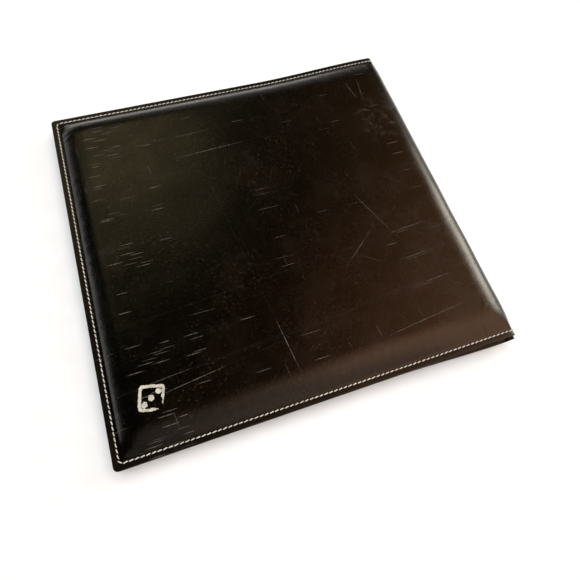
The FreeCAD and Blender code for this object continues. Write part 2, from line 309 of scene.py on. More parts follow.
def tube_faces(first, rings, around):
    """Faces of a closed tube: rings of points, numbered from first, with a cap on both ends."""
    faces = []
    for ring in range(rings - 1):
        for k in range(around):
            a = first + ring * around + k
            b = first + ring * around + (k + 1) % around
            faces.append([a, b, b + around, a + around])
    faces.append([first + k for k in range(around)])
    faces.append([first + (rings - 1) * around + k for k in range(around)])
    return faces


def build_cover(leaf):
    """The outer leather of one leaf, in one piece with its half of the spine."""
    grid, s, y = cover_grid(leaf)
    depth = normals(grid) * LEATHER
    inset = np.minimum(HALF_DEPTH - np.abs(y), s)
    return shell(f"{leaf}_cover_skin", place(grid, leaf), place(grid - depth, leaf),
                 {"inset": inset})


def build_foam(leaf):
    """The padding between the board and the leather, full in the middle and thin at its edge."""
    low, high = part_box(f"{leaf}_cover_foam")
    spacing = (0.002, 0.008, 0.02)
    s = spaced(high.x - low.x, *spacing) + low.x - FORE_EDGE
    y = spaced(high.y - low.y, *spacing) + low.y
    s, y = np.meshgrid(s, y, indexing="ij")
    x, h = skin(s, y)
    top = np.maximum(h - LEATHER - 0.0001, BOARD_LEVEL + 0.0003)
    over = np.stack([x, y, top], axis=-1)
    under = np.stack([x, y, np.full_like(x, BOARD_LEVEL)], axis=-1)
    return shell(f"{leaf}_foam_pad", place(over, leaf), place(under, leaf))


def channel(insets, radii, step):
    """Rows of points round the three free edges, one row for each inset, from the front end of
    the spine side to its back end."""
    rows = []
    for inset, radius in zip(insets, radii):
        left, side = FORE_EDGE + inset, HALF_DEPTH - inset
        straight = np.linspace(WALL_END, left + radius, round((WALL_END - FORE_EDGE) / step))
        angles = np.linspace(0, math.pi / 2, 9)[1:-1]
        upright = np.linspace(-side + radius, side - radius, round(2 * HALF_DEPTH / step))
        centre_x, centre_y = left + radius, side - radius
        front = np.stack([straight, np.full_like(straight, -side)], axis=1)
        bend = np.stack([centre_x - radius * np.sin(angles),
                         -centre_y - radius * np.cos(angles)], axis=1)
        fore = np.stack([np.full_like(upright, left), upright], axis=1)
        rows.append(np.concatenate(
            [front, bend, fore, bend[::-1] * [1, -1], front[::-1] * [1, -1]]))
    return np.array(rows)


def rim_profile():
    """Inset and height of the visible side of the rim: margin, padded wall top, lip."""
    margin = [(d, GAP) for d in (0.0003, 0.0015, 0.0028, 0.0036, 0.0044, 0.0052, MARGIN)]
    middle, half_width = 0.0143, 0.0058
    wall = [(d, GAP + 0.0005 * abs((d - middle) / half_width) ** 3)
            for d in np.linspace(0.0074, 0.0193, 13)]
    radius = 0.0014
    lip = [(WALL_INNER - radius + radius * math.sin(a), GAP + 0.0006 + radius * (1 - math.cos(a)))
           for a in np.linspace(0.35, math.pi / 2, 6)]
    wall_side = [(WALL_INNER, level) for level in np.linspace(0.0029, FELT_LEVEL - 0.0002, 4)]
    return np.array(margin + wall + lip + wall_side)


def build_rim(leaf):
    """The inner leather: sewn margin, padded top of the wall and the lip down to the felt."""
    profile = rim_profile()
    radii = np.maximum(CORNER_RADIUS - profile[:, 0], 0.0008)
    step = 0.0022
    rows = channel(profile[:, 0], radii, step)
    on_margin = 1 - smooth(profile[:, 0], MARGIN, 0.0095)
    x, y = rows[..., 0], rows[..., 1]
    climb = (edge_height(x) - EDGE_HEIGHT) * on_margin[:, None]
    dip = 0.00022 * ridge(profile[:, 0], STITCH_INSET, GROOVE_WIDTH)[:, None]
    along = x + y
    pucker = 0.00006 * gathers(along) * ridge(profile[:, 0], 0.009, 0.004)[:, None]
    if leaf == "bottom":
        y = y + flare(x, y, 0.02)
    face = np.stack([x, y, profile[:, 1][:, None] + climb + dip + pucker], axis=-1)
    steps = np.gradient(profile, axis=0)
    across = np.stack([-steps[:, 1], steps[:, 0]], axis=1)
    across /= np.linalg.norm(across, axis=1, keepdims=True)
    back_insets = profile[:, 0] + across[:, 0] * RIM_LEATHER
    back_rows = channel(back_insets, np.maximum(radii - across[:, 0] * 0.0005, 0.0004), step)
    lift = across[:, 1][:, None] * RIM_LEATHER
    back_y = back_rows[..., 1] + (y - rows[..., 1])
    back = np.stack([back_rows[..., 0], back_y, face[..., 2] + lift], axis=-1)
    inset = np.broadcast_to(profile[:, 0][:, None], x.shape)
    return shell(f"{leaf}_rim_skin", place(face, leaf), place(back, leaf), {"inset": inset})


def build_wall_ends(leaf):
    """The leather folded over the spine ends of the two long walls."""
    thick = 0.0007
    section = [(0.0085, 0.0012), (0.0205, 0.0009), (0.0210, 0.0016),
               (0.0210, FELT_LEVEL), (0.0150, FELT_LEVEL)]
    layers = ((0, 1.0), (thick * 0.6, 1.0), (thick, 0.94), (thick * 1.15, 0.8))
    points, faces = [], []
    for side in (-1, 1):
        faces.extend(tube_faces(len(points), len(layers), len(section)))
        ring = np.array([(side * (HALF_DEPTH - d), h) for d, h in section])
        middle = ring.mean(axis=0)
        for x, shrink in layers:
            loop = middle + (ring - middle) * shrink
            points.extend(np.stack([np.full(len(loop), WALL_END + x), *loop.T], axis=1))
    return make_object(f"{leaf}_wall_end_caps", place(points, leaf), faces, smooth_angle=40)


def build_felt(leaf):
    """The rolling surface, a little hairy and uneven, with a soft cut edge."""
    low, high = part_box(f"{leaf}_felt")
    spacing = (0.0007, 0.005, 0.004)
    x = spaced(high.x - low.x, *spacing) + low.x
    y = spaced(high.y - low.y, *spacing) + low.y
    x, y = np.meshgrid(x, y, indexing="ij")
    edge = np.minimum(np.minimum(x - low.x, high.x - x),
                      np.minimum(y - low.y, high.y - y))
    nap = waves(9, 0.004, 0.03, 21)(x, y) * 0.00003
    thick = (high.z - low.z) * (0.55 + 0.45 * smooth(edge, 0, 0.0018))
    level = FELT_LEVEL + (high.z - low.z)
    face = np.stack([x, y, level - thick - nap * smooth(edge, 0, 0.002)], axis=-1)
    back = np.stack([x, y, np.full_like(x, level)], axis=-1)
    return shell(f"{leaf}_felt_sheet", place(face, leaf), place(back, leaf))


def curve_through(points, count):
    """A smooth line through a few points, evenly spaced."""
    points = np.array(points, float)
    ends = [2 * points[0] - points[1], *points, 2 * points[-1] - points[-2]]
    line = []
    for a, b, c, d in zip(ends, ends[1:], ends[2:], ends[3:]):
        for t in np.linspace(0, 1, 12, endpoint=False):
            line.append(0.5 * (2 * b + (c - a) * t + (2 * a - 5 * b + 4 * c - d) * t * t
                               + (3 * b - a - 3 * c + d) * t ** 3))
    line = np.array(line + [points[-1]])
    along = np.concatenate([[0], np.cumsum(np.linalg.norm(np.diff(line, axis=0), axis=1))])
    at = np.linspace(0, along[-1], count)
    return np.stack([np.interp(at, along, line[:, k]) for k in range(2)], axis=1)


def build_lining(leaf):
    """Half of the spine's lining: felt from the edge of the leaf's felt, down into the fold and
    over the stiff strip to the middle of the spine."""
    strip_x = lining_low.x
    line = curve_through([(felt_high.x + 0.0003, FELT_LEVEL), (strip_x - 0.0056, FOLD_DEPTH),
                          (strip_x - 0.0034, FOLD_DEPTH), (strip_x - 0.0012, 0.0058),
                          (strip_x + 0.0001, STRIP_EDGE), (strip_x + 0.0001, 0.0)], 26)
    tangent = np.gradient(line, axis=0)
    tangent /= np.linalg.norm(tangent, axis=1, keepdims=True)
    away = np.stack([-tangent[:, 1], tangent[:, 0]], axis=1)
    half = HALF_DEPTH - WALL_INNER - 0.0008
    y = spaced(2 * half, 0.001, 0.006, 0.005) - half
    thick = 0.0008

    def layer(offset):
        moved = line + away * offset
        grid = np.empty((len(line), len(y), 3))
        grid[..., 0] = moved[:, 0][:, None]
        grid[..., 1] = y
        grid[..., 2] = moved[:, 1][:, None]
        return grid

    return shell(f"{leaf}_lining_sheet", place(layer(0), leaf), place(layer(thick), leaf))


def build_end_pad(side):
    """A soft leather-covered pad that closes the wall at the fold."""
    low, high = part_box(f"spine_{side}_end_pad")
    centre_y, centre_z = (low.y + high.y) / 2, (low.z + high.z) / 2
    half = Vector(((high.x - low.x) / 2, (high.y - low.y) / 2, (high.z - low.z) / 2))
    turn = -1 if side == "front" else 1
    rings, around = 15, 48
    power = 0.42
    points = []
    for i in range(rings):
        across = -1 + 2 * i / (rings - 1)
        shrink = 1 - abs(across) ** 5 * 0.28
        for k in range(around):
            angle = 2 * math.pi * k / around
            c, s = math.cos(angle), math.sin(angle)
            u = math.copysign(abs(c) ** power, c) * shrink
            v = math.copysign(abs(s) ** power, s) * shrink
            taper = 1 - 0.42 * max(0.0, u * turn) ** 1.5
            crown = 0.93 + 0.07 * (1 - across * across)
            points.append((low.x + half.x * (1 + across * 0.98),
                           centre_y + half.y * u * crown,
                           centre_z + half.z * v * taper * crown))
    return make_object(f"spine_{side}_bolster", points, tube_faces(0, rings, around),
                       smooth_angle=60)


# ---------------------------------------------------------------- stitching
def seam_path(leaf, inset, outer):
    """The stitch line: points and outward directions, from the middle of the spine's front end,
    round the fore-edge, to the middle of the spine's back end."""
    fine = 0.0004
    end = SKIN_LENGTH if outer else WALL_END - FORE_EDGE
    s_run = np.arange(end, inset + CORNER_RADIUS, -fine)
    angles = np.linspace(0, math.pi / 2, 14)
    y_run = np.arange(-HALF_DEPTH + inset + CORNER_RADIUS, HALF_DEPTH - inset - CORNER_RADIUS, fine)
    centre = inset + CORNER_RADIUS
    s = np.concatenate([s_run, centre - CORNER_RADIUS * np.sin(angles), np.full_like(y_run, inset),
                        centre - CORNER_RADIUS * np.cos(angles), s_run[::-1]])
    side = HALF_DEPTH - inset
    y = np.concatenate([np.full_like(s_run, -side),
                        -side + CORNER_RADIUS * (1 - np.cos(angles)), y_run,
                        side - CORNER_RADIUS * (1 - np.sin(angles)), np.full_like(s_run, side)])
    if outer:
        beside = 0.0002
        points = on_cover(s, y)
        normal = np.cross(on_cover(s + beside, y) - points, on_cover(s, y + beside) - points)
    else:
        x = FORE_EDGE + s
        points = np.stack([x, y, GAP + edge_height(x) - EDGE_HEIGHT], axis=1)
        normal = np.tile([0.0, 0.0, -1.0], (len(s), 1))
    # The outer skin ends at the first and last points, where nothing lies beside it.
    normal /= np.maximum(np.linalg.norm(normal, axis=1, keepdims=True), TINY)
    if leaf == "bottom":
        spread = FLARE * smooth(points[:, 0], FLARE_START, FLARE_END)
        points[:, 1] += np.sign(points[:, 1]) * spread
    along = np.concatenate([[0], np.cumsum(np.linalg.norm(np.diff(points, axis=0), axis=1))])
    count = round(along[-1] / STITCH_PITCH)
    at = (np.arange(count) + 0.5) * along[-1] / count

    def pick(rows):
        return np.stack([np.interp(at, along, rows[:, k]) for k in range(3)], axis=1)

    tangent = np.gradient(points, axis=0)
    return pick(points), pick(tangent), pick(normal)


def build_stitches(leaf):
    """Every stitch of one leaf, outside and on the rim: short slanted twists of waxed thread."""
    draw = np.random.default_rng(31)
    radius, length, slant = 0.00036, 0.0031, math.radians(11)
    rings, sides = 7, 8
    points, faces, lengthwise, around = [], [], [], []
    for outer in (True, False):
        centres, tangents, ups = seam_path(leaf, STITCH_INSET, outer)
        for centre, tangent, up in zip(centres, tangents, ups):
            up = up / np.linalg.norm(up)
            tangent = tangent - up * (tangent @ up)
            tangent /= np.linalg.norm(tangent)
            beside = np.cross(up, tangent)
            turn = slant + draw.normal(0, 0.03)
            ahead = tangent * math.cos(turn) + beside * math.sin(turn)
            beside = np.cross(up, ahead)
            half = length / 2 * (1 + draw.normal(0, 0.02))
            first = len(points)
            for ring in range(rings):
                t = -1 + 2 * ring / (rings - 1)
                lift = 0.00012 + 0.00018 * (1 - t * t) - 0.0005 * max(0, abs(t) - 0.7) / 0.3
                girth = radius * (1 - 0.35 * abs(t) ** 4)
                middle = centre + ahead * half * t + up * lift
                for k in range(sides):
                    angle = 2 * math.pi * k / sides
                    points.append(middle + beside * girth * 1.12 * math.cos(angle)
                                  + up * girth * 0.85 * math.sin(angle))
                    lengthwise.append(half * t)
                    around.append(k / sides)
            faces.extend(tube_faces(first, rings, sides))
    return make_object(f"{leaf}_stitches", place(points, leaf), faces,
                       {"lengthwise": lengthwise, "around": around}, smooth_angle=80)


# ---------------------------------------------------------------- foil mark
def build_mark():
    """A worn foil stamp: the face of a die that shows three, rubbed away in places."""
    size = mark_high.x - mark_low.x
    centre = np.array([(mark_low.x + mark_high.x) / 2, (mark_low.y + mark_high.y) / 2])
    cells = 110
    lattice = np.linspace(-0.5, 0.5, cells + 1) * size * 1.02
    u, v = np.meshgrid(lattice, lattice, indexing="ij")
    half, band, pip = size / 2, size * 0.118, size * 0.112
    corner = size * 0.16
    past_u, past_v = np.abs(u) - half + corner, np.abs(v) - half + corner
    over = np.hypot(np.maximum(past_u, 0), np.maximum(past_v, 0))
    outside = over + np.minimum(np.maximum(past_u, past_v), 0) - corner
    frame_depth = np.abs(outside + band / 2) - band / 2
    pips = np.min([np.hypot(u - k * size / 4, v - k * size / 4) - pip for k in (-1, 0, 1)], axis=0)
    wear = waves(12, size * 0.05, size * 0.5, 43)(u, v)
    streaks = ripples(8, size * 0.03, size * 0.2, 44)(v + 0.15 * u)
    rubbed = 0.00022 * wear + 0.00014 * streaks - 0.00002
    rubbed = rubbed + 0.0013 * smooth(u - 0.7 * v, size * 0.30, size * 0.75)
    depth = np.minimum(frame_depth, pips) + rubbed
    keep = (depth[:-1, :-1] + depth[1:, :-1] + depth[1:, 1:] + depth[:-1, 1:]) < 0
    slope_u, slope_v = np.gradient(depth, lattice[1] - lattice[0])
    steep = np.maximum(slope_u ** 2 + slope_v ** 2, 0.05)
    limit = (lattice[1] - lattice[0]) * 0.7
    used = np.zeros_like(depth, bool)
    for a in (0, 1):
        for b in (0, 1):
            used[a:cells + a, b:cells + b] |= keep
    near = used & (np.abs(depth) < limit)
    u = u - np.where(near, np.clip(depth * slope_u / steep, -limit, limit), 0)
    v = v - np.where(near, np.clip(depth * slope_v / steep, -limit, limit), 0)
    turn = math.radians(-14)
    x = centre[0] + u * math.cos(turn) - v * math.sin(turn)
    y = centre[1] + u * math.sin(turn) + v * math.cos(turn)
    on_skin = skin_points(x - FORE_EDGE, y, "top")
    thick = 0.00006
    index = np.full((cells + 1, cells + 1), -1)
    index[used] = np.arange(used.sum())
    top = on_skin[used] + [0, 0, thick]
    bottom = on_skin[used] - [0, 0, thick]
    total = len(top)
    faces = []
    rows, columns = np.nonzero(keep)
    for i, j in zip(rows, columns):
        ring = [index[i, j], index[i + 1, j], index[i + 1, j + 1], index[i, j + 1]]
        faces.append(ring)
        faces.append([k + total for k in reversed(ring)])
        for (di, dj), (a, b) in (((0, -1), (0, 1)), ((1, 0), (1, 2)), ((0, 1), (2, 3)),
                                 ((-1, 0), (3, 0))):
            ni, nj = i + di, j + dj
            if not (0 <= ni < cells and 0 <= nj < cells) or not keep[ni, nj]:
                faces.append([ring[b], ring[a], ring[a] + total, ring[b] + total])
    points = place(np.concatenate([top, bottom]), "top")
    return make_object("worn_foil_mark", points, faces, smooth_angle=30)


# ---------------------------------------------------------------- materials
class Nodes:
    """A node tree under construction, with short calls for making and joining its nodes."""

    def __init__(self, tree):
        self.tree = tree

    def node(self, kind, inputs=None, **settings):
        node = self.tree.nodes.new(kind)
        for key, value in settings.items():
            setattr(node, key, value)
        for key, value in (inputs or {}).items():
            self.feed(node.inputs[key], value)
        return node

    def feed(self, socket, value):
        if isinstance(value, bpy.types.NodeSocket):
            self.tree.links.new(value, socket)
        else:
            socket.default_value = value

    def math(self, operation, *values, clamp=False):
        inputs = dict(enumerate(values))
        return self.node("ShaderNodeMath", inputs, operation=operation, use_clamp=clamp).outputs[0]

    def mix(self, share, first, second):
        node = self.node("ShaderNodeMix", data_type="RGBA")
        self.feed(node.inputs["Factor"], share)
        self.feed(node.inputs[6], first)
        self.feed(node.inputs[7], second)
        return node.outputs[2]


class Material(Nodes):
    """A material under construction, with short calls for what the pieces need."""

    def __init__(self, name):
        self.material = bpy.data.materials.new(name)
        self.material.use_nodes = True
        super().__init__(self.material.node_tree)
        self.shader = self.tree.nodes["Principled BSDF"]

    def rest(self, x=1.0, y=1.0, z=1.0, turn=0.0):
        """The place on the unbent piece, turned about Z and then scaled along each axis."""
        place_node = self.node("ShaderNodeAttribute", attribute_name="rest")
        turned = self.node("ShaderNodeVectorRotate", {"Vector": place_node.outputs["Vector"],
                                                      "Angle": turn}, rotation_type="Z_AXIS")
        scaled = self.node("ShaderNodeVectorMath", {0: turned.outputs[0], 1: (x, y, z)},
                           operation="MULTIPLY")
        return scaled.outputs[0]

    def attribute(self, name):
        return self.node("ShaderNodeAttribute", attribute_name=name).outputs["Fac"]

    def noise(self, vector, scale=1.0, detail=3.0, roughness=0.5, distortion=0.0):
        return self.node("ShaderNodeTexNoise", {
            "Vector": vector, "Scale": scale, "Detail": detail, "Roughness": roughness,
            "Distortion": distortion}).outputs["Fac"]

    def grain(self, scale, detail=3.0, roughness=0.5, distortion=0.0):
        """Noise of the same size along every axis."""
        return self.noise(self.rest(scale, scale, scale), 1.0, detail, roughness, distortion)

    def span(self, value, low, high, to_low=0.0, to_high=1.0):
        """The value between two limits, eased and mapped to a new range."""
        return self.node("ShaderNodeMapRange", {
            "Value": value, "From Min": low, "From Max": high, "To Min": to_low,
            "To Max": to_high}, interpolation_type="SMOOTHSTEP").outputs[0]

    def bump(self, height, strength, distance, normal=None):
        inputs = {"Height": height, "Strength": strength, "Distance": distance}
        if normal is not None:
            inputs["Normal"] = normal
        return self.node("ShaderNodeBump", inputs).outputs[0]

    def set(self, **sockets):
        for key, value in sockets.items():
            self.feed(self.shader.inputs[key.replace("_", " ")], value)


def colour(red, green, blue):
    return (red, green, blue, 1.0)


def streak_mask(mat, turn, length, width, share, along_bias=None):
    """Fine scratches that all run one way: long thin cells, of which a share is kept."""
    cell_long, cell_short = length * 3.2, width * 6.5
    coords = mat.rest(1 / cell_long, 1 / cell_short, 0.0, turn)
    cells = mat.node("ShaderNodeTexVoronoi", {"Vector": coords, "Scale": 1.0,
                                              "Randomness": 1.0}, voronoi_dimensions="2D")
    line = mat.span(cells.outputs["Distance"], 0.06, 0.17, 1.0, 0.0)
    tone = mat.node("ShaderNodeSeparateColor", {"Color": cells.outputs["Color"]})
    chosen = mat.math("LESS_THAN", tone.outputs["Red"],
                      share if along_bias is None else mat.math("MULTIPLY", share, along_bias))
    strength = mat.span(tone.outputs["Green"], 0.0, 1.0, 0.35, 1.0)
    broken = mat.span(mat.grain(900, 2.0), 0.35, 0.55, 0.25, 1.0)
    kept = mat.math("MULTIPLY", mat.math("MULTIPLY", line, chosen), strength)
    return mat.math("MULTIPLY", kept, broken)


def single_scratch(mat, x, y, start, end, width):
    """One straight scratch that tapers to its ends, given in metres from the front fore-edge
    corner."""
    run, rise = end[0] - start[0], end[1] - start[1]
    length = math.hypot(run, rise)
    run, rise = run / length, rise / length
    from_x = mat.math("SUBTRACT", x, FORE_EDGE + (start[0] + end[0]) / 2)
    from_y = mat.math("SUBTRACT", y, (start[1] + end[1]) / 2 - HALF_DEPTH)
    along = mat.math("MULTIPLY_ADD", from_x, run, mat.math("MULTIPLY", from_y, rise))
    across = mat.math("MULTIPLY_ADD", from_x, -rise, mat.math("MULTIPLY", from_y, run))
    left = mat.math("SUBTRACT", 1.0, mat.math("DIVIDE", mat.math("ABSOLUTE", along), length / 2),
                    clamp=True)
    reach = mat.math("MULTIPLY", mat.math("POWER", left, 0.4), width)
    return mat.span(mat.math("SUBTRACT", reach, mat.math("ABSOLUTE", across)), -0.0001, 0.0002)


def leather(name, worn):
    """Dark espresso leather, finished semi-gloss: pebbled grain, cloudy handling, scratches and a
    painted sheen.
    """
    mat = Material(name)
    broad = mat.grain(9, 3.0, 0.55)
    cloud = mat.grain(38, 5.0, 0.62, 0.6)
    fine = mat.grain(420, 4.0, 0.6)
    # Painted sheen: the base colour browns towards the spine and the front and goes near black
    # towards the fore-edge and the back.
    along = mat.node("ShaderNodeSeparateXYZ", {"Vector": mat.rest()})
    painted_sheen_ramp = mat.math("SUBTRACT", along.outputs["X"], mat.math("MULTIPLY", along.outputs["Y"], 0.75))
    painted_sheen_ramp = mat.math("ADD", painted_sheen_ramp, mat.math("MULTIPLY", mat.math("SUBTRACT", broad, 0.5), 0.25))
    base = mat.mix(mat.span(painted_sheen_ramp, -0.10, 0.07), colour(0.0004, 0.0004, 0.0002),
                   colour(0.0014, 0.0003, 0.0001))
    base = mat.mix(mat.span(painted_sheen_ramp, 0.02, 0.22), base, colour(0.0078, 0.0020, 0.0005))
    base = mat.mix(mat.span(cloud, 0.5, 0.8, 0.0, 0.3), base, colour(0.005, 0.0018, 0.0007))
    dust = mat.grain(560, 5.0, 0.72)
    dusty = mat.span(mat.grain(30, 4.0, 0.6), 0.35, 0.65, 0.25, 1.0)
    dust = mat.math("MULTIPLY", mat.span(dust, 0.57, 0.67), dusty)
    base = mat.mix(mat.math("MULTIPLY", dust, 0.85), base, colour(0.036, 0.026, 0.014))
    pebbles = mat.node("ShaderNodeTexVoronoi", {
        "Vector": mat.rest(1, 1, 1), "Scale": 1150.0, "Smoothness": 0.6, "Randomness": 0.95},
        feature="SMOOTH_F1").outputs["Distance"]
    pores = mat.span(mat.grain(1500, 2.0), 0.62, 0.74)
    base = mat.mix(mat.math("MULTIPLY", pores, 0.5), base, colour(0.0015, 0.001, 0.0006))
    edge = mat.span(mat.attribute("inset"), 0.0006, 0.0058, 1.0, 0.0)
    base = mat.mix(mat.math("MULTIPLY", edge, 0.75), base, colour(0.0016, 0.0012, 0.0011))
    rough = mat.span(cloud, 0.3, 0.75, 0.20, 0.29)
    rough = mat.math("ADD", rough, mat.math("MULTIPLY", fine, 0.06))
    rough = mat.math("ADD", rough, mat.math("MULTIPLY", edge, 0.12))
    scratches = None
    if worn:
        scratches, scuffs = wear_marks(mat)
        base = mat.mix(mat.math("MULTIPLY", scuffs, 0.85), base, colour(0.20, 0.175, 0.145))
        rough = mat.math("ADD", rough, mat.math("MULTIPLY", scuffs, 0.3), clamp=True)
    creased = mat.grain(160, 4.0, 0.55, 0.8)
    normal = mat.bump(pebbles, 0.20, 0.0002)
    normal = mat.bump(fine, 0.19, 0.00022, normal)
    normal = mat.bump(creased, 0.10, 0.0009, normal)
    if scratches is not None:
        normal = mat.bump(mat.math("MULTIPLY", scratches, -1.0), 0.3, 0.0002, normal)
    mat.set(Base_Color=base, Roughness=rough, Normal=normal, IOR=1.5, Specular_IOR_Level=0.9)
    return mat.material


# A rubbed patch near the spine's back corner, in the row's frame.
RUBBED_PLACE = (0.124, 0.068, 0.012)

# The longest scratches: start, end and width, in metres from the front fore-edge corner.
LONG_SCRATCHES = [
    ((0.091, 0.219), (0.149, 0.2215), 0.00030),
    ((0.093, 0.240), (0.123, 0.2410), 0.00024),
    ((0.040, 0.037), (0.086, 0.0425), 0.00028),
    ((0.034, 0.046), (0.062, 0.0480), 0.00022),
    ((0.236, 0.105), (0.268, 0.1075), 0.00026),
    ((0.240, 0.1035), (0.256, 0.1045), 0.00018),
    ((0.235, 0.081), (0.266, 0.0830), 0.00026),
    ((0.238, 0.0792), (0.262, 0.0808), 0.00018),
    ((0.236, 0.058), (0.270, 0.0600), 0.00026),
    ((0.234, 0.0562), (0.256, 0.0574), 0.00018),
    ((0.203, 0.028), (0.270, 0.0350), 0.00028),
    ((0.222, 0.146), (0.238, 0.1080), 0.00022),
    ((0.193, 0.088), (0.225, 0.1140), 0.00020),
    ((0.128, 0.063), (0.133, 0.0230), 0.00034),
    ((0.259, 0.262), (0.263, 0.2420), 0.00026),
    ((0.271, 0.264), (0.268, 0.2380), 0.00026),
    ((0.260, 0.229), (0.271, 0.2250), 0.00026),
]


def wear_marks(mat):
    """Scratches, scuffs and specks of a case that has slid in and out of shelves."""
    coords = mat.node("ShaderNodeSeparateXYZ", {"Vector": mat.rest()})
    x, y = coords.outputs["X"], coords.outputs["Y"]
    near_fore_edge = mat.span(x, FORE_EDGE + 0.012, FORE_EDGE + 0.030)
    near_fore_edge = mat.math("MULTIPLY", near_fore_edge,
                              mat.span(x, FORE_EDGE + 0.045, FORE_EDGE + 0.085, 1.0, 0.04))
    groups = mat.span(mat.noise(mat.rest(3, 40, 0), 1.0, 1.0), 0.42, 0.56, 0.10, 1.0)
    fore = streak_mask(mat, 0.0, 0.013, 0.00024, 0.75, mat.math("MULTIPLY", near_fore_edge, groups))
    strewn = streak_mask(mat, 0.02, 0.022, 0.00020, 0.010)
    slanting = streak_mask(mat, math.radians(38), 0.026, 0.00020, 0.006)
    upright = streak_mask(mat, math.radians(84), 0.012, 0.00020, 0.007)
    light = mat.math("MAXIMUM", strewn, mat.math("MAXIMUM", slanting, upright))
    marks = mat.math("MAXIMUM", fore, mat.math("MULTIPLY", light, 0.6))
    long_marks = 0.0
    for start, end, width in LONG_SCRATCHES:
        long_marks = mat.math("MAXIMUM", long_marks, single_scratch(mat, x, y, start, end, width))
    faint = mat.span(mat.grain(420), 0.3, 0.6, 0.10, 0.58)
    marks = mat.math("MAXIMUM", marks, mat.math("MULTIPLY", long_marks, faint))
    dots = mat.node("ShaderNodeTexVoronoi", {"Vector": mat.rest(1, 1, 1), "Scale": 260.0})
    tone = mat.node("ShaderNodeSeparateColor", {"Color": dots.outputs["Color"]})
    patch = mat.span(mat.grain(22), 0.5, 0.66)
    specks = mat.math("MULTIPLY", mat.span(dots.outputs["Distance"], 0.05, 0.11, 1.0, 0.0),
                      mat.math("LESS_THAN", tone.outputs["Blue"], 0.16))
    specks = mat.math("MULTIPLY", mat.math("MULTIPLY", specks, patch), 0.7)
    cloudy = mat.span(mat.grain(60, 6.0, 0.7), 0.52, 0.72)
    haze = mat.math("MULTIPLY", cloudy, mat.math("MULTIPLY", patch, 0.03))
    away = mat.node("ShaderNodeVectorMath", {0: mat.rest(), 1: RUBBED_PLACE},
                    operation="DISTANCE").outputs["Value"]
    rubbed = mat.span(mat.noise(mat.rest(170, 170, 60), 1.0, 5.0, 0.66), 0.47, 0.66, 0.0, 0.13)
    near = mat.span(away, 0.008, 0.034, 1.0, 0.0)
    haze = mat.math("ADD", haze, mat.math("MULTIPLY", rubbed, near))
    return marks, mat.math("MAXIMUM", marks, mat.math("ADD", specks, haze))


def felt_material():
    """Deep green wool felt with a short nap."""
    mat = Material("green_wool_felt")
    fibres = mat.grain(1100, 6.0, 0.75)
    strands = mat.noise(mat.rest(260, 950, 500, 0.6), 1.0, 5.0, 0.7, 2.0)
    worn = mat.grain(24, 4.0)
    base = mat.mix(mat.span(fibres, 0.38, 0.62), colour(0.003, 0.022, 0.010),
                   colour(0.012, 0.066, 0.031))
    base = mat.mix(mat.span(strands, 0.52, 0.68, 0.0, 0.55), base, colour(0.030, 0.105, 0.058))
    base = mat.mix(mat.span(worn, 0.5, 0.8, 0.0, 0.35), base, colour(0.006, 0.034, 0.018))
    normal = mat.bump(fibres, 0.7, 0.0006)
    normal = mat.bump(strands, 0.6, 0.0008, normal)
    mat.set(Base_Color=base, Roughness=0.95, Normal=normal, Sheen_Weight=0.12, Sheen_Roughness=0.5,
            Specular_IOR_Level=0.2)
    return mat.material


def thread_material():
    """Cream waxed thread, twisted from two strands."""
    mat = Material("cream_waxed_thread")
    phase = mat.math("ADD", mat.math("MULTIPLY", mat.attribute("lengthwise"), 1500.0),
                     mat.math("MULTIPLY", mat.attribute("around"), 2.0))
    twist = mat.math("SINE", mat.math("MULTIPLY", phase, 2 * math.pi))
    soil = mat.grain(90, 4.0)
    fibre = mat.grain(5000)
    base = mat.mix(mat.span(soil, 0.35, 0.75), colour(0.80, 0.77, 0.70), colour(0.60, 0.55, 0.47))
    # Painted shade: the thread is darker in the groove between its two strands.
    base = mat.mix(mat.span(twist, -1.0, -0.4, 0.45, 0.0), base, colour(0.33, 0.29, 0.23))
    normal = mat.bump(mat.math("ADD", twist, mat.math("MULTIPLY", fibre, 0.4)), 0.5, 0.00012)
    mat.set(Base_Color=base, Roughness=0.6, Normal=normal, Sheen_Weight=0.15)
    return mat.material


def foil_material():
    """Pale metallic foil, dulled and crazed by age."""
    mat = Material("aged_pale_foil")
    crazed = mat.grain(1300, 4.0, 0.65)
    stain = mat.grain(260)
    base = mat.mix(mat.span(stain, 0.35, 0.7), colour(0.70, 0.67, 0.58), colour(0.50, 0.47, 0.38))
    base = mat.mix(mat.span(crazed, 0.6, 0.72, 0.0, 0.7), base, colour(0.20, 0.17, 0.12))
    mat.set(Base_Color=base, Roughness=mat.span(crazed, 0.3, 0.7, 0.38, 0.62), Metallic=0.25,
            Normal=mat.bump(crazed, 0.3, 0.0001))
    return mat.material


def board_material(name, dark, light, grain):
    """Pressed board: long pale and dark fibres."""
    mat = Material(name)
    fibres = mat.noise(mat.rest(*grain), 1.0, 5.0, 0.6, 1.0)
    flecks = mat.grain(900)
    base = mat.mix(mat.span(fibres, 0.35, 0.7), dark, light)
    base = mat.mix(mat.span(flecks, 0.62, 0.75, 0.0, 0.5), base, colour(0.12, 0.09, 0.06))
    mat.set(Base_Color=base, Roughness=0.85, Normal=mat.bump(fibres, 0.3, 0.0003))
    return mat.material


def foam_material():
    """Open-cell foam, yellowed a little."""
    mat = Material("open_cell_foam")
    cells = mat.node("ShaderNodeTexVoronoi", {"Vector": mat.rest(), "Scale": 1600.0},
                     feature="DISTANCE_TO_EDGE").outputs["Distance"]
    aged = mat.grain(30)
    base = mat.mix(mat.span(aged, 0.4, 0.7), colour(0.70, 0.66, 0.50), colour(0.58, 0.50, 0.32))
    # Painted shade: the foam is darker in the grooves between its cells.
    base = mat.mix(mat.span(cells, 0.0, 0.2, 0.6, 0.0), base, colour(0.30, 0.26, 0.18))
    mat.set(Base_Color=base, Roughness=0.95, Normal=mat.bump(cells, 0.6, 0.0004))
    return mat.material


